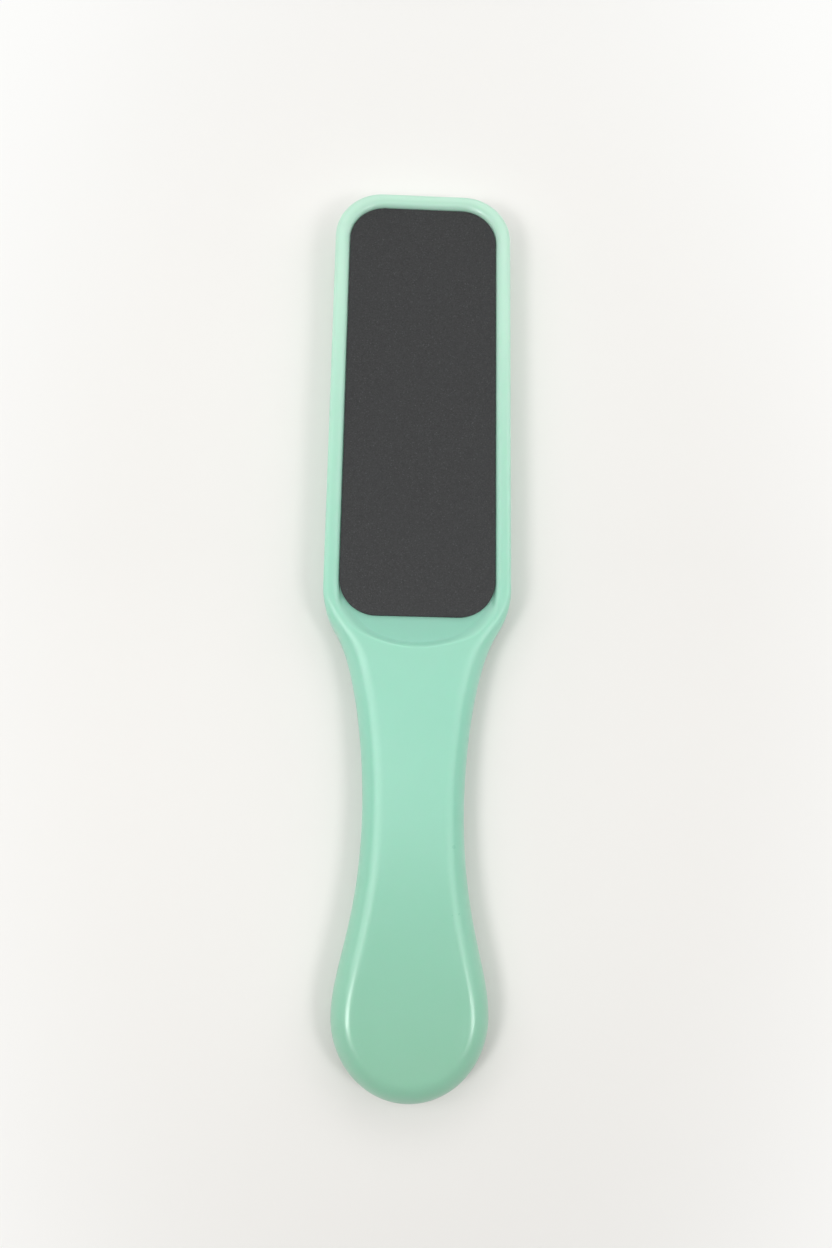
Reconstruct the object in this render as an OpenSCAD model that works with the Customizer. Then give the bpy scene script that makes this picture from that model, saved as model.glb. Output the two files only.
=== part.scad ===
// Foot file: a paddle of two moulded half shells with an abrasive sheet in each face.
// X runs across the paddle, Y along it towards the head, and Z up through its thickness.
// The origin is under the middle of the part, on the plane that it lies on.

/* [Overall] */
// Length from the end of the handle to the top of the head
overall_l = 246.5; // [236:0.5:270]
// Thickness over both faces
overall_t = 12; // [11.5:0.25:15]

/* [Head] */
// Width of the head
head_w = 50.4; // [48:0.2:56]
// Length of the head's straight part, from its top to where the shoulders start
head_l = 117; // [108:0.5:122]
// Radius of the head's two outer corners, seen from above
head_corner_r = 13.5; // [10:0.5:18]
// Rounding of the edge between the head's side and its face
head_edge_r = 1.5; // [1:0.1:2.6]

/* [Shoulders] */
// Radius of the shoulder where the head's side turns inwards
shoulder_r = 22; // [14:0.5:30]
// Angle through which the shoulder turns before it sweeps into the handle
shoulder_turn = 32; // [24:0.5:36]
// Length over which the handle's round edge becomes the head's small one
edge_blend_l = 23; // [16:1:45]

/* [Handle] */
// Width of the handle at its waist
neck_w = 26.5; // [23:0.1:31]
// Distance of the waist from the end of the handle
neck_y = 70; // [58:1:80]
// Width of the rounded end
bulb_w = 39.5; // [35:0.1:44]
// Distance of the widest place of the rounded end from the end of the handle
bulb_l = 20.5; // [16:0.5:24]
// Rounding of the edge between the handle's side and its face
handle_edge_r = 5.6; // [4:0.1:5.6]

/* [Recess] */
// Width of the rim that stands around the recess
rim_w = 4.1; // [3.9:0.1:6]
// Length of the bare floor between the sheet and the recess's lowest point
crescent_l = 8; // [5:0.2:10]
// Radius of the curved lower edge of the recess
crescent_r = 27; // [26:1:60]
// Width over which the rim rounds off towards the sheet
lip_w = 2.2; // [0.5:0.1:2.4]
// Depth over which it does
lip_h = 1.7; // [0.5:0.1:1.8]
// Rounding of the step at the curved lower edge
crescent_lip_r = 0.8; // [0.3:0.1:1.6]
// Distance from the curved lower edge's lowest point over which the step takes on the rim's rounding
lip_blend_l = 6; // [3:0.5:14]

/* [Abrasive sheets] */
// Length of a sheet
sheet_l = 120.7; // [110:0.2:126]
// Thickness of a sheet with its grit
sheet_t = 0.5; // [0.4:0.05:0.8]
// Radius of a sheet's corners
sheet_corner_r = 10; // [6:0.5:12]
// Depth of a sheet's surface below the rim
sheet_sink = 1.3; // [0.9:0.05:1.4]
// Gap between a sheet's edge and the wall of the recess
sheet_gap = 0.15; // [0.1:0.05:0.4]

/* [Adhesive films] */
// Thickness of the double-sided film under a sheet
film_t = 0.15; // [0.1:0.05:0.3]
// Distance that the film stays back from the sheet's edge
film_inset = 0.6; // [0.3:0.1:2]

/* [Shell walls] */
// Thickness of the side wall
side_wall = 2.2; // [2:0.1:2.6]
// Thickness of the wall behind the handle's face
face_wall = 2; // [1.6:0.1:2.4]
// Thickness of the wall behind the recess
web_t = 1.8; // [1.5:0.1:2]
// Bevel of both shells at the seam between them
seam_bevel = 0.15; // [0.1:0.05:0.3]
// Thickness of the ribs
rib_t = 1.2; // [0.8:0.1:1.6]
// Greatest distance between neighbouring cross ribs
rib_pitch = 22; // [16:1:40]

/* [Shell joint] */
// Distance of the tongue from the outer surface
tongue_inset = 0.8; // [0.7:0.05:0.9]
// Thickness of the tongue
tongue_t = 0.6; // [0.4:0.05:0.7]
// Height of the tongue
tongue_h = 0.8; // [0.5:0.1:1.2]
// Clearance around the tongue in its groove
tongue_gap = 0.1; // [0.05:0.01:0.15]
// Diameter of the locating pins
pin_d = 3; // [2:0.1:4]
// Length of the locating pins
pin_l = 2.4; // [1.5:0.1:2.5]
// Clearance around a pin in its socket, on the radius
pin_gap = 0.08; // [0.05:0.01:0.15]
// Clearance past the end of a pin
pin_end_gap = 0.25; // [0.1:0.05:0.3]
// Thickness of the boss around a socket
boss_wall = 1.6; // [1.2:0.1:2.4]
// Distance of the head's pins from the edge of the recess
pin_edge = 7; // [5:0.5:10]

/* [Hidden] */

overrun = 0.5;
least_edge_r = 0.4;

half_t = overall_t / 2;
head_half = head_w / 2;
neck_half = neck_w / 2;
bulb_half = bulb_w / 2;
shoulder_y = overall_l - head_l;

// How far the handle's two sweeping curves lean towards each of their ends
bulb_lean_share = 0.24;
neck_low_lean_share = 0.55;
neck_high_lean_share = 0.355;
shoulder_lean_share = 0.19;

recess_depth = sheet_sink + sheet_t + film_t;
recess_half = head_half - rim_w;
recess_top = overall_l - rim_w;
recess_corner_r = sheet_corner_r + sheet_gap;
recess_bottom = recess_top - sheet_gap - sheet_l - crescent_l;

sheet_w = 2 * (recess_half - sheet_gap);
sheet_top = recess_top - sheet_gap;
sheet_mid = sheet_top - sheet_l / 2;

handle_pocket_h = half_t - face_wall;
head_pocket_h = half_t - recess_depth - web_t;
bulkhead_y = recess_bottom - crescent_lip_r - face_wall;

// Counts of steps along the curves and around the rounded edges
end_steps = 14;
sweep_steps = 15;
shoulder_steps = 7;
corner_steps = 8;
edge_steps = 6;
lip_steps = 5;
crescent_steps = 9;

// A station of an outline is a point and the outward direction there.
function arc_stations(centre, r, from, to, steps) =
    [for (i = [0:steps])
        let (a = from + (to - from) * i / steps, d = [cos(a), sin(a)])
        [centre + r * d, d]];

// The rounded end of the handle, from its tip up to its widest place
function end_stations() =
    [for (i = [0:end_steps])
        let (a = -90 + 90 * i / end_steps, d = [cos(a) / bulb_half, sin(a) / bulb_l])
        [[bulb_half * cos(a), bulb_l + bulb_l * sin(a)], d / norm(d)]];

// A smooth sweep from a to d, leaving towards b and arriving from c
function sweep_stations(a, b, c, d, steps) =
    [for (i = [1:steps])
        let (t = i / steps, u = 1 - t,
            p = u * u * u * a + 3 * u * u * t * b + 3 * u * t * t * c + t * t * t * d,
            v = u * u * (b - a) + 2 * u * t * (c - b) + t * t * (d - c))
        [p, [v.y, -v.x] / norm(v)]];

function without_first(list) = [for (i = [1:len(list) - 1]) list[i]];

// Closes a right half, which starts on the middle line, with its mirror image.
function both_sides(right) =
    concat(right, [for (i = [len(right) - 1:-1:1])
        let (s = right[i]) [[-s[0].x, s[0].y], [-s[1].x, s[1].y]]]);

shoulder_centre = [head_half - shoulder_r, shoulder_y];
shoulder_end = shoulder_centre + shoulder_r * [cos(shoulder_turn), -sin(shoulder_turn)];
shoulder_way = [sin(shoulder_turn), cos(shoulder_turn)];
low_sweep_l = neck_y - bulb_l;
high_sweep_l = shoulder_end.y - neck_y;
bulb_point = [bulb_half, bulb_l];
neck_point = [neck_half, neck_y];

low_sweep = sweep_stations(
    bulb_point,
    bulb_point + [0, bulb_lean_share * low_sweep_l],
    neck_point - [0, neck_low_lean_share * low_sweep_l],
    neck_point,
    sweep_steps);
high_sweep = sweep_stations(
    neck_point,
    neck_point + [0, neck_high_lean_share * high_sweep_l],
    shoulder_end - shoulder_lean_share * high_sweep_l * shoulder_way / cos(shoulder_turn),
    shoulder_end,
    sweep_steps);
shoulder = without_first(arc_stations(shoulder_centre, shoulder_r, -shoulder_turn, 0, shoulder_steps));
head_corner = arc_stations([head_half - head_corner_r, overall_l - head_corner_r],
    head_corner_r, 0, 90, corner_steps);
paddle = both_sides(concat(end_stations(), low_sweep, high_sweep, shoulder, head_corner));

crescent_centre = [0, recess_bottom + crescent_r];
// The recess's sides run down to where the sheet's lower corners start, and an arc joins each to the curve.
join_y = sheet_top - sheet_l + sheet_corner_r;
side_drop = crescent_centre.y - join_y;
crescent_corner_r = (pow(crescent_r, 2) - pow(recess_half, 2) - pow(side_drop, 2))
    / (2 * (crescent_r - recess_half));
join_x = recess_half - crescent_corner_r;
join_angle = atan2(join_y - crescent_centre.y, join_x);
recess_corner = arc_stations([recess_half - recess_corner_r, recess_top - recess_corner_r],
    recess_corner_r, 0, 90, corner_steps);
recess = both_sides(concat(
    arc_stations(crescent_centre, crescent_r, -90, join_angle, crescent_steps),
    without_first(arc_stations([join_x, join_y], crescent_corner_r, join_angle, 0, crescent_steps)),
    recess_corner));

function smooth(t) = let (u = min(max(t, 0), 1)) u * u * (3 - 2 * u);
function blend(a, b, t) = a + (b - a) * smooth(t);

// The rounding of the paddle's edge at a distance y from the end of the handle
function edge_r(y) = blend(handle_edge_r, head_edge_r, (y - shoulder_y) / edge_blend_l + 1);
function lip_share(y) = (y - recess_bottom) / lip_blend_l;
function lip_w_at(y) = blend(crescent_lip_r, lip_w, lip_share(y));
function lip_h_at(y) = blend(crescent_lip_r, lip_h, lip_share(y));

// Points at one height all round an outline, drawn in by the inset
function level_ring(stations, inset, z) =
    [for (s = stations) let (p = s[0] - inset * s[1]) [p.x, p.y, z]];

// Points all round the paddle where its rounded edge has turned through an angle
function edge_ring(inset, height, turn) =
    [for (s = paddle)
        let (e = min(max(edge_r(s[0].y) - inset, least_edge_r), height - seam_bevel),
            p = s[0] - (inset + e * (1 - cos(turn))) * s[1])
        [p.x, p.y, height - e + e * sin(turn)]];

// Points all round the recess where its rounded lip has turned through an angle
function lip_ring(turn) =
    [for (s = recess)
        let (h = lip_h_at(s[0].y), p = s[0] + lip_w_at(s[0].y) * (1 - cos(turn)) * s[1])
        [p.x, p.y, half_t - h + h * sin(turn)]];

function flat_points(stations, inset) = [for (s = stations) s[0] - inset * s[1]];

// A closed solid through a stack of rings, each with the same number of mirrored points
module ring_stack(rings) {
    n = len(rings[0]);
    last = (len(rings) - 1) * n;
    sides = [for (k = [0:len(rings) - 2]) for (i = [0:n - 1])
        let (a = k * n + i, b = k * n + (i + 1) % n)
        each [[a, a + n, b + n], [a, b + n, b]]];
    under = [[0, 1, n - 1],
        for (i = [1:(n - 3) / 2]) each [[i, i + 1, n - i - 1], [i, n - i - 1, n - i]]];
    over = [for (f = under) [last + f[2], last + f[1], last + f[0]]];
    polyhedron([for (r = rings) each r], concat(sides, under, over));
}

// One half of the paddle without its recess, standing on the seam plane
module half_paddle() {
    ring_stack([
        level_ring(paddle, seam_bevel, 0),
        level_ring(paddle, 0, seam_bevel),
        for (k = [0:edge_steps]) edge_ring(0, half_t, 90 * k / edge_steps)]);
}

module recess_cut() {
    ring_stack([
        level_ring(recess, 0, half_t - recess_depth),
        for (k = [0:lip_steps]) lip_ring(90 * k / lip_steps),
        [for (p = lip_ring(90)) p + [0, 0, overrun]]]);
}

// The room inside a shell between two distances from the end of the handle
module pocket(height, low_y, high_y) {
    intersection() {
        ring_stack([
            level_ring(paddle, side_wall, -overrun),
            for (k = [0:edge_steps]) edge_ring(side_wall, height, 90 * k / edge_steps)]);
        translate([-head_w, low_y, -overall_t])
            cube([2 * head_w, high_y - low_y, 2 * overall_t]);
    }
}

// Cross ribs that share out the room between two distances
module cross_ribs(low_y, high_y) {
    spaces = ceil((high_y - low_y) / rib_pitch);
    for (i = [1:spaces - 1])
        translate([-head_w, low_y + (high_y - low_y) * i / spaces - rib_t / 2, -overall_t])
            cube([2 * head_w, rib_t, 2 * overall_t]);
}

module long_ribs() {
    translate([-rib_t / 2, 0, -overall_t])
        cube([rib_t, overall_l, 2 * overall_t]);
}

pin_x = recess_half - pin_edge;
low_pin_y = bulkhead_y + pin_edge;
high_pin_y = recess_top - pin_edge;
pin_places = [[0, bulb_l], [0, neck_y], [pin_x, low_pin_y], [-pin_x, low_pin_y],
    [pin_x, high_pin_y], [-pin_x, high_pin_y]];

module at_pins() {
    for (p = pin_places)
        translate([p.x, p.y, 0])
            children();
}

module bosses() {
    at_pins()
        translate([0, 0, -overall_t])
            cylinder(d = pin_d + 2 * pin_gap + 2 * boss_wall, h = 2 * overall_t, $fn = 48);
}

// Everything that one shell has in common with the other
module half_shell() {
    difference() {
        half_paddle();
        recess_cut();
        difference() {
            union() {
                pocket(handle_pocket_h, 0, bulkhead_y);
                pocket(head_pocket_h, bulkhead_y + rib_t, overall_l);
            }
            cross_ribs(0, bulkhead_y);
            cross_ribs(bulkhead_y, overall_l);
            long_ribs();
            bosses();
        }
    }
}

// The upright band that runs all round the seam, between two insets
module seam_band(inset, thickness, height) {
    linear_extrude(height)
        difference() {
            polygon(flat_points(paddle, inset));
            polygon(flat_points(paddle, inset + thickness));
        }
}

module rounded_sheet(inset, thickness) {
    x = sheet_w / 2 - sheet_corner_r;
    y = sheet_l / 2 - sheet_corner_r;
    linear_extrude(thickness)
        union() {
            square([sheet_w - 2 * inset, 2 * y], center = true);
            square([2 * x, sheet_l - 2 * inset], center = true);
            for (i = [-1, 1])
                for (j = [-1, 1])
                    translate([i * x, j * y])
                        circle(r = sheet_corner_r - inset, $fn = 96);
        }
}

// Places what is drawn above the seam plane on the front of the part
module front_side() {
    translate([0, -overall_l / 2, half_t])
        children();
}

// Places the same on the back
module back_side() {
    translate([0, -overall_l / 2, half_t])
        mirror([0, 0, 1])
            children();
}

module on_recess_floor(lift) {
    translate([0, sheet_mid, half_t - recess_depth + lift])
        children();
}

module front_shell() {
    color([0.62, 0.87, 0.77])
        front_side() {
            half_shell();
            translate([0, 0, -tongue_h])
                seam_band(tongue_inset, tongue_t, tongue_h + overrun);
            at_pins()
                translate([0, 0, -pin_l])
                    cylinder(d = pin_d, h = pin_l + overrun, $fn = 48);
        }
}

module back_shell() {
    color([0.60, 0.85, 0.75])
        back_side()
            difference() {
                half_shell();
                translate([0, 0, -overrun])
                    seam_band(tongue_inset - tongue_gap, tongue_t + 2 * tongue_gap,
                        tongue_h + tongue_gap + overrun);
                at_pins()
                    translate([0, 0, -overrun])
                        cylinder(d = pin_d + 2 * pin_gap, h = pin_l + pin_end_gap + overrun, $fn = 48);
            }
}

module adhesive_film() {
    on_recess_floor(0)
        rounded_sheet(film_inset, film_t);
}

module abrasive_sheet() {
    on_recess_floor(film_t)
        rounded_sheet(0, sheet_t);
}

module front_adhesive_film() {
    color([0.90, 0.86, 0.72])
        front_side()
            adhesive_film();
}

module back_adhesive_film() {
    color([0.90, 0.86, 0.72])
        back_side()
            adhesive_film();
}

module front_abrasive_sheet() {
    color([0.24, 0.26, 0.27])
        front_side()
            abrasive_sheet();
}

module back_abrasive_sheet() {
    color([0.24, 0.26, 0.27])
        back_side()
            abrasive_sheet();
}

front_shell();
back_shell();
front_adhesive_film();
back_adhesive_film();
front_abrasive_sheet();
back_abrasive_sheet();
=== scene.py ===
import math

import bpy
import numpy as np
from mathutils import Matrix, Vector
from mathutils.geometry import delaunay_2d_cdt


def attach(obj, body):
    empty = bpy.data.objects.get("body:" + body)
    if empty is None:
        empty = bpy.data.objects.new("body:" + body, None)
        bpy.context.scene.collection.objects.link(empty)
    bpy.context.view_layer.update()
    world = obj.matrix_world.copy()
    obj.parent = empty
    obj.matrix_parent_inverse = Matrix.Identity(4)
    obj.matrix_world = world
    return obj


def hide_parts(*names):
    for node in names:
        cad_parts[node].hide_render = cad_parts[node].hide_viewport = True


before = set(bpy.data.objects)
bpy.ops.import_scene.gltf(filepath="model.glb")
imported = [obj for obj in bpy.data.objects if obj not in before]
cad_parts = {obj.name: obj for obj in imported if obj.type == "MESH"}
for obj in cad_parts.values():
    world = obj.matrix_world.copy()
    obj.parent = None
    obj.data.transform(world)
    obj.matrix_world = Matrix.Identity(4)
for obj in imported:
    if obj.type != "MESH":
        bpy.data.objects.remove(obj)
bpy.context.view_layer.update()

# Lengths in this file are in millimetres, as in the part's source, and MM turns them into metres. Only the
# floor, the lamps, the camera and the places where a colour changes are in metres.
MM = 0.001
QUARTER = math.pi / 2

# Sizes of the paddle
OVERALL_L = 246.5
OVERALL_T = 12.0
HEAD_W = 50.4
HEAD_L = 117.0
HEAD_CORNER_R = 13.5
HEAD_EDGE_R = 1.5
SHOULDER_R = 22.0
SHOULDER_TURN = math.radians(32)
EDGE_BLEND_L = 23.0
NECK_W = 26.5
NECK_Y = 70.0
BULB_W = 39.5
BULB_L = 20.5
HANDLE_EDGE_R = 5.6
RIM_W = 4.1
CRESCENT_L = 8.0
CRESCENT_R = 27.0
LIP_W = 2.2
LIP_H = 1.7
CRESCENT_LIP_R = 0.8
LIP_BLEND_L = 6.0

# Sizes of the sheets and their films
SHEET_L = 120.7
SHEET_T = 0.5
SHEET_CORNER_R = 10.0
SHEET_SINK = 1.3
SHEET_GAP = 0.15
FILM_T = 0.15

# Shares by which the handle's sweeping curves lean towards their ends
BULB_LEAN = 0.24
NECK_LOW_LEAN = 0.55
NECK_HIGH_LEAN = 0.355
SHOULDER_LEAN = 0.19

# What follows from these sizes
HALF_T = OVERALL_T / 2
HEAD_HALF = HEAD_W / 2
NECK_HALF = NECK_W / 2
BULB_HALF = BULB_W / 2
SHOULDER_Y = OVERALL_L - HEAD_L
RECESS_DEPTH = SHEET_SINK + SHEET_T + FILM_T
RECESS_HALF = HEAD_HALF - RIM_W
RECESS_TOP = OVERALL_L - RIM_W
RECESS_CORNER_R = SHEET_CORNER_R + SHEET_GAP
RECESS_BOTTOM = RECESS_TOP - SHEET_GAP - SHEET_L - CRESCENT_L
SHEET_W = 2 * (RECESS_HALF - SHEET_GAP)
SHEET_MID = RECESS_TOP - SHEET_GAP - SHEET_L / 2
SHEET_CORE = np.array([SHEET_W / 2 - SHEET_CORNER_R, SHEET_L / 2 - SHEET_CORNER_R])

# Small roundings that a moulding has and the solids leave out: how wide the fillet between wall and floor
# is beside the sheet, and at most where the sheet leaves room. Then the strip that holds a rounding's edge
# straight, and the least width of flat between two roundings.
FLOOR_FILLET = 0.10
OPEN_FILLET = 1.3
SUPPORT = 0.08
LEAST_FLAT = 0.1

# The groove at the seam, from its bottom outwards: how far in it lies, how high over the seam, and how much
# of it is painted as an edge, with a painted sheen and wear, and as a groove. Over it, the straight side has
# rings at two shares of its height.
SEAM_GROOVE = (
    (0.30, 0.000, 0.0, 1.0),
    (0.15, 0.000, 0.0, 1.0),
    (0.07, 0.045, 0.0, 0.8),
    (0.02, 0.100, 0.5, 0.3),
    (0.00, 0.180, 0.6, 0.0),
)
SEAM_TOP = SEAM_GROOVE[-1][1]
SIDE_SHARES = (0.12, 0.88)

# How many steps the roundings have, and how strongly their edges are painted with a sheen and with wear
EDGE_STEPS = 18
LIP_STEPS = 10
FILLET_STEPS = 9
EDGE_PAINT = 0.5
LIP_PAINT = 0.7

# How far apart the points of the flat areas lie, how near to a rim they may come, as a share of that, and
# how near two points count as one
FACE_PITCH = 3.2
FLOOR_PITCH = 1.6
SEAM_PITCH = 4.0
LEAST_PITCH_SHARE = 0.55
SAME_PLACE = 1e-7

# How finely an outline is divided to measure its distance, and how often a narrowed rounding is evened out
MEASURE_STEPS = 12
EVENING_PASSES = 3

# The bed of grains: how far apart its points lie, how far they stray as a share of that, how much fine,
# coarse and tall grains stand out, the share of points without a tall grain, and how much of all this is
# left at the border
GRAIN_PITCH = 0.32
GRAIN_STRAY = 0.3
FINE_GRAIN = 0.020
COARSE_GRAIN = 0.035
TALL_GRAIN = 0.035
PLAIN_SHARE = 0.94
BORDER_SHARE = 0.4

# The sheet's die-cut edge: the points round a corner, the small bevels on top and below, and how ragged the
# cut is
SHEET_CORNER_POINTS = 40
TOP_BEVEL_W = 0.08
TOP_BEVEL_H = 0.07
UNDER_BEVEL = 0.04
RAGGED = 0.03


# Outlines: each is a pair of arrays, the points and the outward directions there.
def arc(centre, r, start, end, steps):
    """A round stretch with both of its ends."""
    angles = np.linspace(start, end, steps + 1)
    way = np.stack([np.cos(angles), np.sin(angles)], 1)
    return np.array(centre) + r * way, way


def handle_end(steps):
    """The quarter of an ellipse that closes the handle."""
    angles = np.linspace(-QUARTER, 0, steps + 1)
    points = np.stack([BULB_HALF * np.cos(angles), BULB_L + BULB_L * np.sin(angles)], 1)
    way = np.stack([np.cos(angles) / BULB_HALF, np.sin(angles) / BULB_L], 1)
    return points, way / np.linalg.norm(way, axis=1)[:, None]


def sweep(a, b, c, d, steps):
    """A curve from a to d that leans towards b and c, without its first point."""
    a, b, c, d = map(np.array, (a, b, c, d))
    t = (np.arange(1, steps + 1) / steps)[:, None]
    u = 1 - t
    points = u**3 * a + 3 * u * u * t * b + 3 * u * t * t * c + t**3 * d
    run = u * u * (b - a) + 2 * u * t * (c - b) + t * t * (d - c)
    way = np.stack([run[:, 1], -run[:, 0]], 1)
    return points, way / np.linalg.norm(way, axis=1)[:, None]


def straight(a, b, direction, steps):
    """The points between a and b, without either."""
    t = (np.arange(1, steps) / steps)[:, None]
    points = np.array(a) * (1 - t) + np.array(b) * t
    return points, np.tile(np.array(direction, float), (len(points), 1))


def top_middle(y):
    """The single point where an outline's top crosses the middle line."""
    return np.array([[0.0, y]]), np.array([[0.0, 1.0]])


def joined(*parts):
    """Stretches of an outline, one after the other."""
    return tuple(np.concatenate(arrays) for arrays in zip(*parts))


def without_first(part):
    points, way = part
    return points[1:], way[1:]


def both_sides(half):
    """Goes on with the mirror image. The two points on the middle line stay single."""
    points, way = half
    mirror = [-1, 1]
    return joined((points, way), (points[-2:0:-1] * mirror, way[-2:0:-1] * mirror))


def paddle_outline():
    """The paddle: round end, handle, neck, shoulder, side, corner and top."""
    turn = SHOULDER_TURN
    centre = np.array([HEAD_HALF - SHOULDER_R, SHOULDER_Y])
    end = centre + SHOULDER_R * np.array([math.cos(turn), -math.sin(turn)])
    way = np.array([math.sin(turn), math.cos(turn)])
    low = NECK_Y - BULB_L
    high = end[1] - NECK_Y
    bulb = np.array([BULB_HALF, BULB_L])
    neck = np.array([NECK_HALF, NECK_Y])
    over_bulb = bulb + [0, BULB_LEAN * low]
    under_neck = neck - [0, NECK_LOW_LEAN * low]
    over_neck = neck + [0, NECK_HIGH_LEAN * high]
    under_shoulder = end - SHOULDER_LEAN * high * way / math.cos(turn)
    corner_x = HEAD_HALF - HEAD_CORNER_R
    corner_y = OVERALL_L - HEAD_CORNER_R
    return both_sides(joined(
        handle_end(steps=44),
        sweep(bulb, over_bulb, under_neck, neck, steps=36),
        sweep(neck, over_neck, under_shoulder, end, steps=36),
        without_first(arc(centre, SHOULDER_R, -turn, 0, steps=14)),
        straight([HEAD_HALF, SHOULDER_Y], [HEAD_HALF, corner_y], [1, 0], steps=34),
        arc([corner_x, corner_y], HEAD_CORNER_R, 0, QUARTER, steps=24),
        straight([corner_x, OVERALL_L], [0, OVERALL_L], [0, 1], steps=5),
        top_middle(OVERALL_L)))


def recess_outline():
    """The recess: its curved end, the smaller curve that meets the side smoothly, side, corner and top."""
    centre_y = RECESS_BOTTOM + CRESCENT_R
    join_y = RECESS_BOTTOM + CRESCENT_L + SHEET_CORNER_R
    drop = centre_y - join_y
    small_r = (CRESCENT_R**2 - RECESS_HALF**2 - drop**2) / (2 * (CRESCENT_R - RECESS_HALF))
    join_x = RECESS_HALF - small_r
    join = math.atan2(join_y - centre_y, join_x)
    corner_x = RECESS_HALF - RECESS_CORNER_R
    corner_y = RECESS_TOP - RECESS_CORNER_R
    return both_sides(joined(
        arc([0, centre_y], CRESCENT_R, -QUARTER, join, steps=20),
        without_first(arc([join_x, join_y], small_r, join, 0, steps=26)),
        straight([RECESS_HALF, join_y], [RECESS_HALF, corner_y], [1, 0], steps=34),
        arc([corner_x, corner_y], RECESS_CORNER_R, 0, QUARTER, steps=24),
        straight([corner_x, RECESS_TOP], [0, RECESS_TOP], [0, 1], steps=5),
        top_middle(RECESS_TOP)))


def smooth(t):
    """Goes from 0 to 1 as t does, with a soft start and end."""
    u = np.clip(t, 0, 1)
    return u * u * (3 - 2 * u)


def edge_r(y):
    """The outer rounding: full along the handle, small around the head."""
    head_share = smooth((y - SHOULDER_Y) / EDGE_BLEND_L + 1)
    return HANDLE_EDGE_R + (HEAD_EDGE_R - HANDLE_EDGE_R) * head_share


def lip_at(y, rim_size):
    """The recess's rounding: small at its curved end, and the rim's own size further up."""
    return CRESCENT_LIP_R + (rim_size - CRESCENT_LIP_R) * smooth((y - RECESS_BOTTOM) / LIP_BLEND_L)


def room_to_sheet(points):
    """How far points lie from the edge of the sheet."""
    from_middle = points - [0, SHEET_MID]
    from_core = from_middle - np.clip(from_middle, -SHEET_CORE, SHEET_CORE)
    return np.linalg.norm(from_core, axis=1) - SHEET_CORNER_R


def share_room(own, own_reach, other, other_reach):
    """Narrows a rounding where it would run into the rounding of the other outline."""
    step = np.linspace(0, 1, MEASURE_STEPS, endpoint=False)[None, :]
    ahead = np.roll(other[0], -1, 0)
    reach_ahead = np.roll(other_reach, -1)
    dense = other[0][:, None] * (1 - step[..., None]) + ahead[:, None] * step[..., None]
    reach = other_reach[:, None] * (1 - step) + reach_ahead[:, None] * step
    gaps = np.linalg.norm(own[0][:, None] - dense.reshape(-1, 2)[None], axis=2)
    nearest = gaps.argmin(1)
    room = gaps.min(1) - 2 * SUPPORT - LEAST_FLAT
    share = np.minimum(1, room / (own_reach + reach.ravel()[nearest]))
    for _ in range(EVENING_PASSES):
        share = np.minimum(share, (np.roll(share, 1) + share + np.roll(share, -1)) / 3)
    return own_reach * share


def inside(points, loop):
    """Which points lie within a closed loop."""
    x, y = points[:, 0], points[:, 1]
    within = np.zeros(len(points), bool)
    for (ax, ay), (bx, by) in zip(loop, np.roll(loop, -1, 0)):
        if ay != by:
            cross = (ay > y) != (by > y)
            within ^= cross & (x < (bx - ax) * (y - ay) / (by - ay) + ax)
    return within


def in_area(points, rim, hole):
    """Which points lie within the rim and outside the hole, if there is one."""
    within = inside(points, rim)
    if len(hole):
        within &= ~inside(points, hole)
    return within


def grid_points(low, high, pitch):
    """Points in staggered rows, so that neighbours form triangles with equal sides."""
    across = np.arange(low[0] + pitch / 2, high[0], pitch)
    along = np.arange(low[1] + pitch / 2, high[1], pitch * math.sqrt(3) / 2)
    return np.array([(x + (row % 2) * pitch / 2, y) for row, y in enumerate(along) for x in across])


def band(low, high):
    """Faces outwards between two rings, each counter-clockwise and the second one higher."""
    corners = zip(low, np.roll(low, -1), np.roll(high, -1), high)
    return [tuple(int(i) for i in face) for face in corners]


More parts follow.
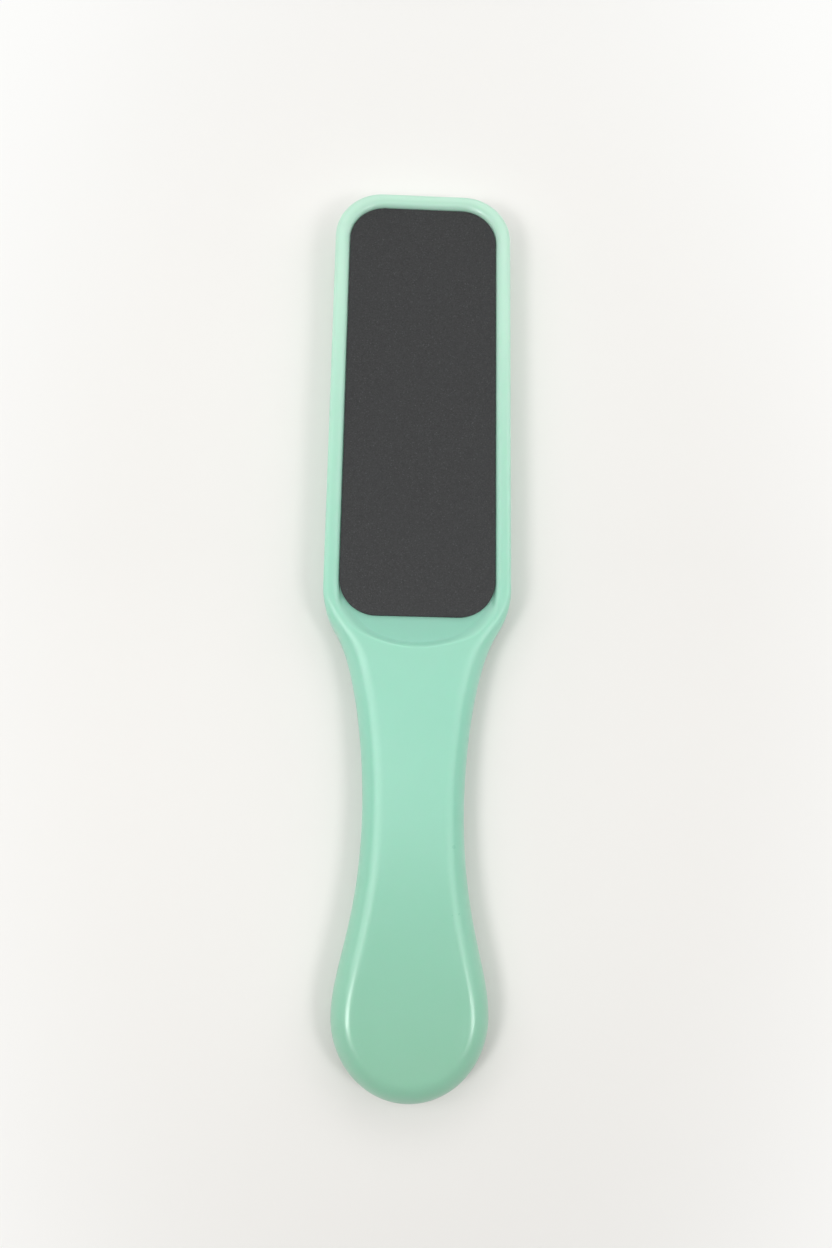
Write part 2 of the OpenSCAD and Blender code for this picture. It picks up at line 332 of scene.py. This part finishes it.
class Surface:
    """Points, faces and three painted values per point, gathered before they become a mesh."""

    def __init__(self):
        self.points = []
        self.faces = []
        self.edge = []
        self.groove = []
        self.thin = []

    def add_points(self, points, edge=0.0, groove=0.0, thin=0.0):
        first = len(self.points)
        self.points += [tuple(point) for point in points]
        self.edge += [edge] * len(points)
        self.groove += [groove] * len(points)
        self.thin += [thin] * len(points)
        return np.arange(first, len(self.points))

    def ring(self, outline, inset, z, **paint):
        """An outline drawn in by an inset, at a height over the seam. Both can vary from point to point."""
        points, way = outline
        count = len(points)
        flat = points - np.broadcast_to(inset, (count,))[:, None] * way
        return self.add_points(np.column_stack([flat, np.broadcast_to(z, (count,))]), **paint)

    def stack(self, rings):
        """Faces between each ring and the next."""
        for low, high in zip(rings, rings[1:]):
            self.faces += band(low, high)

    def fill(self, rim, hole, pitch, upwards, thin=0.0):
        """Fills a level ring, less a hole, with well-shaped triangles."""
        z = self.points[rim[0]][2]
        loops = [rim] if hole is None else [rim, hole]
        ring_ids = [int(i) for loop in loops for i in loop]
        flat = np.array([self.points[i][:2] for i in ring_ids])
        flat_rim = flat[:len(rim)]
        flat_hole = flat[len(rim):]
        edges = []
        for loop in loops:
            first = len(edges)
            count = len(loop)
            edges += [(first + i, first + (i + 1) % count) for i in range(count)]

        # Free points, kept clear of the loops
        grid = grid_points(flat.min(0), flat.max(0), pitch)
        grid = grid[in_area(grid, flat_rim, flat_hole)]
        nearest = np.min(np.linalg.norm(grid[:, None] - flat[None], axis=2), axis=1)
        grid = grid[nearest > pitch * LEAST_PITCH_SHARE]
        every = [Vector(point) for point in np.concatenate([flat, grid])]
        corners, _, triangles, origins, _, _ = delaunay_2d_cdt(every, edges, [], 0, SAME_PLACE)

        # Corners that are points of the loops keep their numbers, and the others are new points
        index = []
        for corner, origin in zip(corners, origins):
            if origin and origin[0] < len(ring_ids):
                index.append(ring_ids[origin[0]])
            else:
                index.append(int(self.add_points([(corner.x, corner.y, z)], thin=thin)[0]))

        # Triangles outside the area are left out, and the others are turned to face the right way
        middles = np.array([[sum(corners[i].x for i in three) / 3, sum(corners[i].y for i in three) / 3]
                            for three in triangles])
        for three, wanted in zip(triangles, in_area(middles, flat_rim, flat_hole)):
            if wanted:
                a, b, c = (corners[i] for i in three)
                turn = (b.x - a.x) * (c.y - a.y) - (b.y - a.y) * (c.x - a.x)
                face = [index[i] for i in three]
                self.faces.append(tuple(face if (turn > 0) == upwards else face[::-1]))

    def mesh(self, name, place, mirrored):
        """A mesh of it all, with the painted values as attributes for its material."""
        mesh = new_mesh(name, np.array(self.points), self.faces, place, mirrored)
        # The painted values: the edges' sheen and wear, the groove, and the recess's painted shade
        for label, values in (("edge", self.edge), ("groove", self.groove), ("thin", self.thin)):
            attribute = mesh.attributes.new(label, "FLOAT", "POINT")
            attribute.data.foreach_set("value", np.array(values, dtype=np.float32))
        mesh.validate()
        return mesh


def on_front(points):
    """From distances along the paddle and heights over the seam to the part's own frame."""
    return points + [0, -OVERALL_L / 2, HALF_T]


def on_back(points):
    """The same on the other face."""
    return points * [1, 1, -1] + [0, -OVERALL_L / 2, HALF_T]


def new_mesh(name, points, faces, place, mirrored):
    """A mesh in its place. Its faces are turned round where the place mirrors them."""
    mesh = bpy.data.meshes.new(name)
    turned = [face[::-1] for face in faces] if mirrored else faces
    mesh.from_pydata((place(points) * MM).tolist(), [], turned)
    return mesh


def add_object(name, mesh, material):
    added = bpy.data.objects.new(name, mesh)
    bpy.context.scene.collection.objects.link(added)
    mesh.materials.append(material)
    return added


def recess_steps(lip_w, lip_h, fillet_w):
    """The wall beside the sheet, from the rim down to the floor: the lip's rounding, then a small fillet.
    A step is how far in it lies and how high."""
    floor = HALF_T - RECESS_DEPTH
    fillet_h = np.minimum(fillet_w, RECESS_DEPTH - lip_h)
    steps = [(-lip_w * (1 - math.cos(turn)), HALF_T - lip_h + lip_h * math.sin(turn))
             for turn in np.linspace(QUARTER, 0, LIP_STEPS + 1)]
    steps += [(fillet_w * (1 - math.cos(turn)), floor + fillet_h * (1 - math.sin(turn)))
              for turn in np.linspace(0, QUARTER, FILLET_STEPS + 1)]
    return steps


def half_surface():
    """One moulded half: seam, side, rounded edge, face, recess with its lip and floor."""
    surface = Surface()
    paddle = paddle_outline()
    recess = recess_outline()
    edge_h = edge_r(paddle[0][:, 1])
    lip_w = lip_at(recess[0][:, 1], LIP_W)
    lip_h = lip_at(recess[0][:, 1], LIP_H)
    edge_w = share_room(paddle, edge_h, recess, lip_w)
    lip_w = share_room(recess, lip_w, paddle, edge_h)
    side_top = HALF_T - edge_h

    outside = [surface.ring(paddle, inset, z, edge=as_edge_sheen_and_wear, groove=as_groove)
               for inset, z, as_edge_sheen_and_wear, as_groove in SEAM_GROOVE]
    for share in SIDE_SHARES:
        outside.append(surface.ring(paddle, 0.0, SEAM_TOP + share * (side_top - SEAM_TOP)))
    for turn in np.linspace(0, QUARTER, EDGE_STEPS + 1):
        inset = edge_w * (1 - math.cos(turn))
        z = side_top + edge_h * math.sin(turn)
        outside.append(surface.ring(paddle, inset, z, edge=EDGE_PAINT * math.sin(2 * turn)))
    rim = surface.ring(paddle, edge_w + SUPPORT, HALF_T)
    surface.stack(outside + [rim])

    # Beside the sheet the wall has its own steps. Where the sheet leaves room, they give way to a soft slope.
    fillet_w = np.clip(room_to_sheet(recess[0]) - SHEET_GAP / 2, FLOOR_FILLET, OPEN_FILLET)
    room = smooth((fillet_w - FLOOR_FILLET) / (OPEN_FILLET - FLOOR_FILLET))
    steps = recess_steps(lip_w, lip_h, fillet_w)
    lip_out = surface.ring(recess, -(lip_w + SUPPORT), HALF_T)
    down = [lip_out]
    # The wall's steps get painted shade that deepens down into the recess, and the floor gets full painted
    # shade
    for step, (inset, z) in enumerate(steps):
        share = step / (len(steps) - 1)
        depth_share = float(smooth(share))
        soft_inset = (lip_w + fillet_w) * share - lip_w
        soft_z = HALF_T - RECESS_DEPTH * depth_share
        down.append(surface.ring(recess, inset + (soft_inset - inset) * room, z + (soft_z - z) * room,
                                 edge=LIP_PAINT * max(0.0, math.sin(2 * math.pi * share)),
                                 thin=depth_share))
    floor_ring = surface.ring(recess, fillet_w + SUPPORT / 2, HALF_T - RECESS_DEPTH, thin=1)
    surface.stack(down + [floor_ring])

    surface.fill(rim, lip_out, FACE_PITCH, upwards=True)
    surface.fill(floor_ring, None, FLOOR_PITCH, upwards=True, thin=1)
    surface.fill(outside[0], None, SEAM_PITCH, upwards=False)
    return surface


def grain_rows():
    """The rows of the bed of grains: how far along each one lies, and half its width there."""
    core_x, core_y = SHEET_CORE
    r = SHEET_CORNER_R - TOP_BEVEL_W
    corner = [(core_y + r * math.sin(turn), core_x + r * math.cos(turn))
              for turn in np.linspace(0, QUARTER, SHEET_CORNER_POINTS)]
    between = np.linspace(-core_y, core_y, int(2 * core_y / GRAIN_PITCH) + 1)[1:-1]
    first = [(-y, half) for y, half in reversed(corner)]
    return np.array(first + [(y, core_x + r) for y in between] + corner)


def grain_heights(draws, inner):
    """How far each point of the bed stands out."""
    grain = draws.uniform(-1, 1, inner.shape)
    coarse = draws.uniform(-1, 1, inner.shape)
    for axis in (0, 1):
        coarse = (coarse + np.roll(coarse, 1, axis) + np.roll(coarse, -1, axis)) / 3
    tall = draws.uniform(0, 1, inner.shape) > PLAIN_SHARE
    height = FINE_GRAIN * grain + COARSE_GRAIN * coarse + np.where(tall, TALL_GRAIN, 0)
    return np.where(inner, height, height * BORDER_SHARE)


def sheet_mesh(name, place, mirrored, seed):
    """A die-cut sheet whose top is a bed of small grains."""
    draws = np.random.default_rng(seed)
    rows = grain_rows()
    widest = rows[:, 1].max()
    columns = int(2 * widest / GRAIN_PITCH) + 1
    shape = (len(rows), columns)
    y = np.repeat(rows[:, :1], columns, 1)
    half = np.repeat(rows[:, 1:], columns, 1)
    x = np.linspace(-1, 1, columns)[None, :] * half

    # The inner points of the bed stray, and its border stays true
    shift = draws.uniform(-GRAIN_STRAY, GRAIN_STRAY, (2, *shape)) * GRAIN_PITCH
    inner = np.zeros(shape, bool)
    inner[1:-1, 1:-1] = True
    row_gap = np.gradient(y, axis=0)
    x = x + np.where(inner, shift[0] * half / widest, 0)
    y = y + np.where(inner, shift[1] * row_gap / GRAIN_PITCH, 0)

    top = HALF_T - SHEET_SINK
    under = top - SHEET_T
    z = top + grain_heights(draws, inner)
    bed = np.column_stack([x.ravel(), y.ravel() + SHEET_MID, z.ravel()])
    index = np.arange(len(bed)).reshape(shape)
    quads = np.stack([index[:-1, :-1], index[:-1, 1:], index[1:, 1:], index[1:, :-1]], -1)
    border = np.concatenate([index[0, :-1], index[:-1, -1], index[-1, :0:-1], index[:0:-1, 0]])

    # The cut edge: three rings below the border, each at its reach from the sheet's core and its height
    flat = bed[border, :2] - [0, SHEET_MID]
    core = np.clip(flat, -SHEET_CORE, SHEET_CORE)
    way = (flat - core) / np.linalg.norm(flat - core, axis=1)[:, None]
    count = len(border)
    ragged = draws.uniform(0, RAGGED, count)
    rings = (
        (SHEET_CORNER_R, top - TOP_BEVEL_H),
        (SHEET_CORNER_R, under + UNDER_BEVEL),
        (SHEET_CORNER_R - UNDER_BEVEL, under),
    )
    parts = [bed]
    loops = [border]
    for reach, height in rings:
        rim = core + way * (reach - ragged)[:, None]
        parts.append(np.column_stack([rim[:, 0], rim[:, 1] + SHEET_MID, np.full(count, height)]))
        loops.append(np.arange(count) + len(bed) + (len(loops) - 1) * count)
    faces = [tuple(quad) for quad in quads.reshape(-1, 4).tolist()]
    for high, low in zip(loops, loops[1:]):
        faces += band(low, high)
    faces.append(tuple(int(i) for i in loops[-1][::-1]))
    mesh = new_mesh(name, np.concatenate(parts), faces, place, mirrored)
    mesh.validate()
    return mesh


# Materials
class Nodes:
    """A short way to write the shader nodes of a material or a world."""

    def __init__(self, owner, coordinates="Object"):
        owner.use_nodes = True
        self.owner = owner
        self.tree = owner.node_tree
        self.tree.nodes.clear()
        self.place = self.add("ShaderNodeTexCoord").outputs[coordinates]

    def add(self, kind, settings=None, **sockets):
        """A node with its settings. An input goes by its name, with low lines for spaces, or its number, as
        in i0."""
        node = self.tree.nodes.new(kind)
        for key, value in (settings or {}).items():
            setattr(node, key, value)
        for key, value in sockets.items():
            numbered = key[0] == "i" and key[1:].isdigit()
            socket = node.inputs[int(key[1:]) if numbered else key.replace("_", " ")]
            if isinstance(value, bpy.types.NodeSocket):
                self.tree.links.new(value, socket)
            else:
                socket.default_value = value
        return node

    def axis(self, number):
        return self.add("ShaderNodeSeparateXYZ", Vector=self.place).outputs[number]

    def noise(self, size_mm, detail=2.0, rough=0.5, vector=None):
        return self.add("ShaderNodeTexNoise", Vector=vector or self.place, Scale=1 / (size_mm * MM),
                        Detail=detail, Roughness=rough).outputs["Fac"]

    def cells(self, size_mm):
        return self.add("ShaderNodeTexVoronoi", Vector=self.place, Scale=1 / (size_mm * MM),
                        Randomness=1.0).outputs

    def stretched(self, factors):
        return self.add("ShaderNodeMapping", Vector=self.place, Scale=factors).outputs["Vector"]

    def remap(self, value, low, high, to_low=0.0, to_high=1.0, kind="LINEAR"):
        return self.add("ShaderNodeMapRange", {"interpolation_type": kind}, Value=value, From_Min=low,
                        From_Max=high, To_Min=to_low, To_Max=to_high).outputs["Result"]

    def smoothstep(self, value, low, high, to_low=0.0, to_high=1.0):
        return self.remap(value, low, high, to_low, to_high, kind="SMOOTHSTEP")

    def math(self, operation, a, b=0.0):
        return self.add("ShaderNodeMath", {"operation": operation}, i0=a, i1=b).outputs[0]

    def times(self, a, b):
        return self.math("MULTIPLY", a, b)

    def plus(self, a, b):
        return self.math("ADD", a, b)

    def mix(self, factor, a, b):
        """From colour a to colour b. The node repeats its inputs for each kind of data, hence the numbers."""
        return self.add("ShaderNodeMix", {"data_type": "RGBA"}, i0=factor, i6=a, i7=b).outputs[2]

    def painted(self, name):
        settings = {"attribute_name": name, "attribute_type": "GEOMETRY"}
        return self.add("ShaderNodeAttribute", settings).outputs["Fac"]

    def bump(self, height, strength, distance_mm, **normal):
        return self.add("ShaderNodeBump", Height=height, Strength=strength, Distance=distance_mm * MM,
                        **normal).outputs["Normal"]

    def principled(self, **sockets):
        return self.add("ShaderNodeBsdfPrincipled", **sockets).outputs[0]

    def seen_by_camera(self, factor, other, backdrop):
        """Shows the backdrop to the camera by a factor, and the other shader to all else."""
        seen = self.times(factor, self.add("ShaderNodeLightPath").outputs["Is Camera Ray"])
        return self.add("ShaderNodeMixShader", i0=seen, i1=other, i2=backdrop).outputs[0]

    def finish(self, shader, output="ShaderNodeOutputMaterial"):
        self.add(output, Surface=shader)
        return self.owner


def colour(r, g, b):
    return (r, g, b, 1.0)


# The plastic is painted paler towards the head and darker at the round end: painted light and shade
# for the light from the head's side. Where along the paddle its tone starts to change, where it has the
# neck's tone and the shoulder's, and where the head's palest, most lit one starts to come in and is full
LIGHT_RAMP_START = -0.115
LIGHT_RAMP_NECK = -0.055
LIGHT_RAMP_SHOULDER = -0.015
HEAD_LIGHT_FROM = -0.03
HEAD_LIGHT_TO = 0.09

# Colours of the plastic, two at the round end for its faint flow, both in painted shade. The shoulder's
# and the head's are in painted light, then come the recess's painted shade and the edges' painted sheen
MINT_END_SHADED = colour(0.272, 0.538, 0.386)
MINT_END_SHADED_FLOW = colour(0.282, 0.548, 0.396)
MINT_NECK = colour(0.278, 0.607, 0.458)
MINT_SHOULDER_LIT = colour(0.293, 0.642, 0.494)
MINT_MOTTLE = colour(0.270, 0.572, 0.425)
MINT_HEAD_LIT = colour(0.504, 0.760, 0.619)
MINT_RECESS_SHADE = colour(0.225, 0.498, 0.398)
MINT_EDGE_SHEEN = colour(0.44, 0.76, 0.62)
MINT_GROOVE = colour(0.17, 0.44, 0.32)


def mint_plastic():
    """Smooth moulded polypropylene: a soft gloss, faint flow, and hairlines that barely show, most on the
    edges. Its tones carry painted light and shade: darker at the round end and paler towards the head for the
    light from the head's side, painted shade down in the recess, a faint painted sheen on the edges, and a
    darker groove."""
    nodes = Nodes(bpy.data.materials.new("mint_plastic"))
    flow = nodes.noise(size_mm=38.0)
    mottle = nodes.noise(size_mm=4.5, detail=3.0)
    edge = nodes.painted("edge")
    groove = nodes.painted("groove")
    along = nodes.axis(1)
    # Painted shade at the round end, with its faint flow, and painted light growing through neck and shoulder
    tone = nodes.mix(nodes.remap(flow, 0.3, 0.7), MINT_END_SHADED, MINT_END_SHADED_FLOW)
    tone = nodes.mix(nodes.remap(along, LIGHT_RAMP_START, LIGHT_RAMP_NECK), tone, MINT_NECK)
    tone = nodes.mix(nodes.remap(along, LIGHT_RAMP_NECK, LIGHT_RAMP_SHOULDER), tone, MINT_SHOULDER_LIT)
    tone = nodes.mix(nodes.remap(mottle, 0.25, 0.75, to_high=0.12), tone, MINT_MOTTLE)
    # Painted light at the head
    tone = nodes.mix(nodes.remap(along, HEAD_LIGHT_FROM, HEAD_LIGHT_TO), tone, MINT_HEAD_LIT)
    # Painted shade in the recess, deepest on its floor
    tone = nodes.mix(nodes.times(nodes.painted("thin"), 0.5), tone, MINT_RECESS_SHADE)
    # A faint painted sheen on the rounded edges, the lip and the seam's rim
    tone = nodes.mix(nodes.times(edge, 0.08), tone, MINT_EDGE_SHEEN)
    tone = nodes.mix(nodes.times(groove, 0.35), tone, MINT_GROOVE)

    hairs = nodes.noise(size_mm=0.10, rough=0.6, vector=nodes.stretched((1.0, 0.012, 1.0)))
    cross = nodes.noise(size_mm=0.12, rough=0.6, vector=nodes.stretched((0.02, 1.0, 1.0)))
    scuffs = nodes.math("MAXIMUM", nodes.remap(hairs, 0.62, 0.78), nodes.remap(cross, 0.66, 0.82))
    patch = nodes.remap(nodes.noise(size_mm=9.0), 0.45, 0.7)
    worn = nodes.times(scuffs, nodes.plus(nodes.times(patch, 0.5), nodes.times(edge, 0.6)))
    rough = nodes.remap(mottle, 0.2, 0.8, to_low=0.27, to_high=0.36)
    rough = nodes.plus(rough, nodes.times(worn, 0.06))
    rough = nodes.plus(rough, nodes.times(groove, 0.25))

    sink = nodes.bump(nodes.noise(size_mm=16.0, detail=1.0), strength=0.35, distance_mm=0.10)
    grain = nodes.noise(size_mm=0.16, detail=3.0, rough=0.55)
    normal = nodes.bump(grain, strength=0.25, distance_mm=0.004, Normal=sink)
    return nodes.finish(nodes.principled(
        Base_Color=tone, Roughness=rough, Normal=normal, IOR=1.5,
        Coat_Weight=0.3, Coat_Roughness=0.18, Coat_IOR=1.5,
        Subsurface_Weight=0.6, Subsurface_Radius=(0.7, 1.0, 0.85), Subsurface_Scale=1.6 * MM))


# Colours of the grains and of what lies between them
GRIT_DARK = colour(0.0220, 0.0225, 0.0230)
GRIT_PALE = colour(0.0357, 0.0365, 0.0370)
GRIT_GLINT = colour(0.075, 0.080, 0.082)
GRIT_CLOUD = colour(0.030, 0.032, 0.033)
GRIT_GAP = colour(0.010, 0.011, 0.012)


def abrasive():
    """Dark mineral grains in resin, with the odd pale glint and a soft sheen."""
    nodes = Nodes(bpy.data.materials.new("abrasive_grit"))
    grains = nodes.cells(size_mm=0.26)
    distance = grains["Distance"]
    tint, glint, dull = nodes.add("ShaderNodeSeparateColor", Color=grains["Color"]).outputs
    fine = nodes.cells(size_mm=0.13)["Distance"]
    cloud = nodes.noise(size_mm=14.0, detail=3.0)
    tone = nodes.mix(nodes.remap(tint, 0.0, 1.0), GRIT_DARK, GRIT_PALE)
    tone = nodes.mix(nodes.remap(glint, 0.93, 1.0, to_high=0.6), tone, GRIT_GLINT)
    tone = nodes.mix(nodes.remap(cloud, 0.35, 0.7, to_high=0.25), tone, GRIT_CLOUD)
    tone = nodes.mix(nodes.times(nodes.remap(distance, 0.25, 0.75), 0.3), tone, GRIT_GAP)
    rough = nodes.remap(dull, 0.0, 1.0, to_low=0.50, to_high=0.68)
    height = nodes.plus(nodes.times(distance, -0.7), nodes.times(fine, -0.3))
    normal = nodes.bump(height, strength=0.5, distance_mm=0.04)
    return nodes.finish(nodes.principled(Base_Color=tone, Roughness=rough, Normal=normal, IOR=1.45))


FILM_DARK = colour(0.74, 0.68, 0.48)
FILM_PALE = colour(0.82, 0.77, 0.58)
FILM_BUBBLE = colour(0.88, 0.86, 0.74)


def adhesive():
    """Milky pressure-sensitive film with trapped bubbles."""
    nodes = Nodes(bpy.data.materials.new("adhesive_film"))
    bubble = nodes.remap(nodes.cells(size_mm=2.2)["Distance"], 0.10, 0.22, to_low=1.0, to_high=0.0)
    cloud = nodes.noise(size_mm=7.0, detail=3.0)
    tone = nodes.mix(nodes.remap(cloud, 0.3, 0.7), FILM_DARK, FILM_PALE)
    tone = nodes.mix(nodes.times(bubble, 0.5), tone, FILM_BUBBLE)
    rough = nodes.remap(cloud, 0.2, 0.8, to_low=0.38, to_high=0.55)
    raised = nodes.bump(bubble, strength=0.5, distance_mm=0.02)
    normal = nodes.bump(nodes.noise(size_mm=0.4), strength=0.3, distance_mm=0.01, Normal=raised)
    return nodes.finish(nodes.principled(
        Base_Color=tone, Roughness=rough, Normal=normal, IOR=1.48,
        Subsurface_Weight=0.3, Subsurface_Radius=(1.0, 0.8, 0.5), Subsurface_Scale=0.5 * MM))


# The floor: half its width, how far it lies under the part, where along the paddle its paper turns from the
# handle's tone to the head's, and how far from the middle it starts to fade into the backdrop and is lost
# in it. Across the paddle the fade is nearer, by the factor FADE_ASPECT.
FLOOR_REACH = 3.0
FLOOR_DROP = 0.00003
PAPER_FROM = 0.02
PAPER_TO = 0.19
FADE_NEAR = 0.15
FADE_FAR = 0.34
FADE_ASPECT = 2.0
BACKDROP = colour(0.980, 0.980, 0.965)
PAPER_HANDLE = colour(0.800, 0.785, 0.758)
PAPER_HEAD = colour(0.908, 0.896, 0.868)
PAPER_CLOUD = colour(0.60, 0.60, 0.58)


def pale_floor():
    """White paper, a little paler towards the head, where the lamps reach less of it."""
    nodes = Nodes(bpy.data.materials.new("pale_floor"))
    cloud = nodes.noise(size_mm=90.0, detail=3.0)
    tone = nodes.mix(nodes.remap(nodes.axis(1), PAPER_FROM, PAPER_TO), PAPER_HANDLE, PAPER_HEAD)
    tone = nodes.mix(nodes.remap(cloud, 0.3, 0.7, to_high=0.02), tone, PAPER_CLOUD)
    normal = nodes.bump(nodes.noise(size_mm=0.6, detail=3.0), strength=0.15, distance_mm=0.02)
    paper = nodes.principled(Base_Color=tone, Roughness=0.85, Normal=normal, Specular_IOR_Level=0.2)
    nearer = nodes.stretched((FADE_ASPECT, 1.0, 1.0))
    distance = nodes.add("ShaderNodeVectorMath", {"operation": "LENGTH"}, i0=nearer).outputs["Value"]
    fade = nodes.smoothstep(distance, FADE_NEAR, FADE_FAR)
    backdrop = nodes.add("ShaderNodeEmission", Color=BACKDROP, Strength=1.0).outputs[0]
    return nodes.finish(nodes.seen_by_camera(fade, paper, backdrop))


# World: light from near the horizon, in four sides that fade into one another. Its angles are measured from
# straight above: where it starts to show, where it is full, where it starts to fade and where it has gone.
HORIZON_START = 66
HORIZON_FULL = 78
HORIZON_FADE = 95
HORIZON_END = 110
SIDES = {
    "left": ((-1, 0), 1.00),
    "right": ((1, 0), 0.67),
    "head": ((0, 1), 1.30),
    "handle": ((0, -1), 0.40),
}
# Keeps the directions straight up and down from a division by zero
LEAST_SPREAD = 1e-6


def facing(nodes, x, y, way):
    """Squared cosine of the bearing from one side, so that the four sides add up to one."""
    along = nodes.math("MAXIMUM", nodes.plus(nodes.times(x, way[0]), nodes.times(y, way[1])))
    spread = nodes.plus(nodes.times(x, x), nodes.times(y, y))
    return nodes.math("DIVIDE", nodes.times(along, along), nodes.math("MAXIMUM", spread, LEAST_SPREAD))


def studio_world():
    """The light of the horizon for the part, and the plain backdrop for the camera."""
    nodes = Nodes(bpy.data.worlds.new("studio"), "Generated")
    x, y, z = (nodes.axis(number) for number in range(3))
    angle = nodes.times(nodes.math("ARCCOSINE", z), 180 / math.pi)
    ring = nodes.times(nodes.smoothstep(angle, HORIZON_START, HORIZON_FULL),
                       nodes.smoothstep(angle, HORIZON_FADE, HORIZON_END, to_low=1.0, to_high=0.0))
    light = 0.0
    for way, strength in SIDES.values():
        light = nodes.plus(light, nodes.times(nodes.times(ring, facing(nodes, x, y, way)), strength))
    dome = nodes.add("ShaderNodeBackground", Color=colour(1.0, 1.0, 1.0), Strength=light).outputs[0]
    backdrop = nodes.add("ShaderNodeBackground", Color=BACKDROP, Strength=1.0).outputs[0]
    return nodes.finish(nodes.seen_by_camera(1.0, dome, backdrop), "ShaderNodeOutputWorld")


# Softboxes: name, place, target, size and strength in watts
LAMPS = (
    ("head_key", (0.0, 0.42, 0.40), (0.0, 0.06, 0.0), (0.50, 0.25), 0.74),
    ("head_left", (-0.40, 0.22, 0.34), (0.0, 0.06, 0.0), (0.35, 0.35), 0.43),
    ("head_right", (0.40, 0.22, 0.34), (0.0, 0.06, 0.0), (0.35, 0.35), 0.64),
    ("strip_left", (-0.20, -0.02, 0.38), (0.0, -0.02, 0.0), (0.12, 0.45), 0.56),
    ("strip_right", (0.20, -0.02, 0.38), (0.0, -0.02, 0.0), (0.12, 0.45), 0.35),
    ("bulb_left", (-0.253, -0.183, 0.443), (-0.0155, -0.101, 0.012), (0.10, 0.14), 0.80),
    ("bulb_right", (0.264, -0.183, 0.434), (0.0145, -0.101, 0.012), (0.10, 0.14), 0.60),
)


def softbox(name, place, target, size, watts):
    light = bpy.data.lights.new(name, "AREA")
    light.shape = "RECTANGLE"
    light.size, light.size_y = size
    light.energy = watts
    lamp = bpy.data.objects.new(name, light)
    bpy.context.scene.collection.objects.link(lamp)
    lamp.location = place
    lamp.rotation_euler = (Vector(target) - Vector(place)).to_track_quat("-Z", "Y").to_euler()


# The camera at the photograph's place, in the part's own frame, with its turn in radians. Its focal length
# was found in pixels of the photograph, whose height the sensor's 36 mm cover.
CAMERA_PLACE = (-0.01098, -0.05783, 0.27267)
CAMERA_TURN = (0.202640, -0.044391, 0.016588)
SENSOR_MM = 36.0
FOCAL_PX = 1008
PICTURE_H_PX = 1248
CLIP_NEAR = 0.01
CLIP_FAR = 20.0


def photo_camera():
    data = bpy.data.cameras.new("camera")
    data.sensor_width = SENSOR_MM
    data.sensor_fit = "AUTO"
    data.lens = SENSOR_MM * FOCAL_PX / PICTURE_H_PX
    data.clip_start = CLIP_NEAR
    data.clip_end = CLIP_FAR
    camera = bpy.data.objects.new("camera", data)
    bpy.context.scene.collection.objects.link(camera)
    camera.location = CAMERA_PLACE
    camera.rotation_mode = "XYZ"
    camera.rotation_euler = CAMERA_TURN
    return camera


# Build
plastic = mint_plastic()
grit = abrasive()
film = adhesive()

half = half_surface()
for side, place, mirrored, seed in (("front", on_front, False, 11), ("back", on_back, True, 23)):
    shell = add_object(side + "_half", half.mesh(side + "_half", place, mirrored), plastic)
    for polygon in shell.data.polygons:
        polygon.use_smooth = True
    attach(shell, "root")
    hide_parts(side + "_shell")

    pad = add_object(side + "_grit_sheet", sheet_mesh(side + "_grit_sheet", place, mirrored, seed), grit)
    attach(pad, "root")
    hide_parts(side + "_abrasive_sheet")

    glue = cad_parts[side + "_adhesive_film"]
    for slot in glue.material_slots:
        slot.material = film

# Floor, world, lamps and camera
floor_mesh = bpy.data.meshes.new("floor")
floor_corners = [(x * FLOOR_REACH, y * FLOOR_REACH, 0) for x, y in ((-1, -1), (1, -1), (1, 1), (-1, 1))]
floor_mesh.from_pydata(floor_corners, [], [(0, 1, 2, 3)])
floor = add_object("floor", floor_mesh, pale_floor())
floor.location = (0, 0, -FLOOR_DROP)

bpy.context.scene.world = studio_world()
for lamp in LAMPS:
    softbox(*lamp)
bpy.context.scene.camera = photo_camera()
bpy.context.scene.view_settings.view_transform = "Standard"
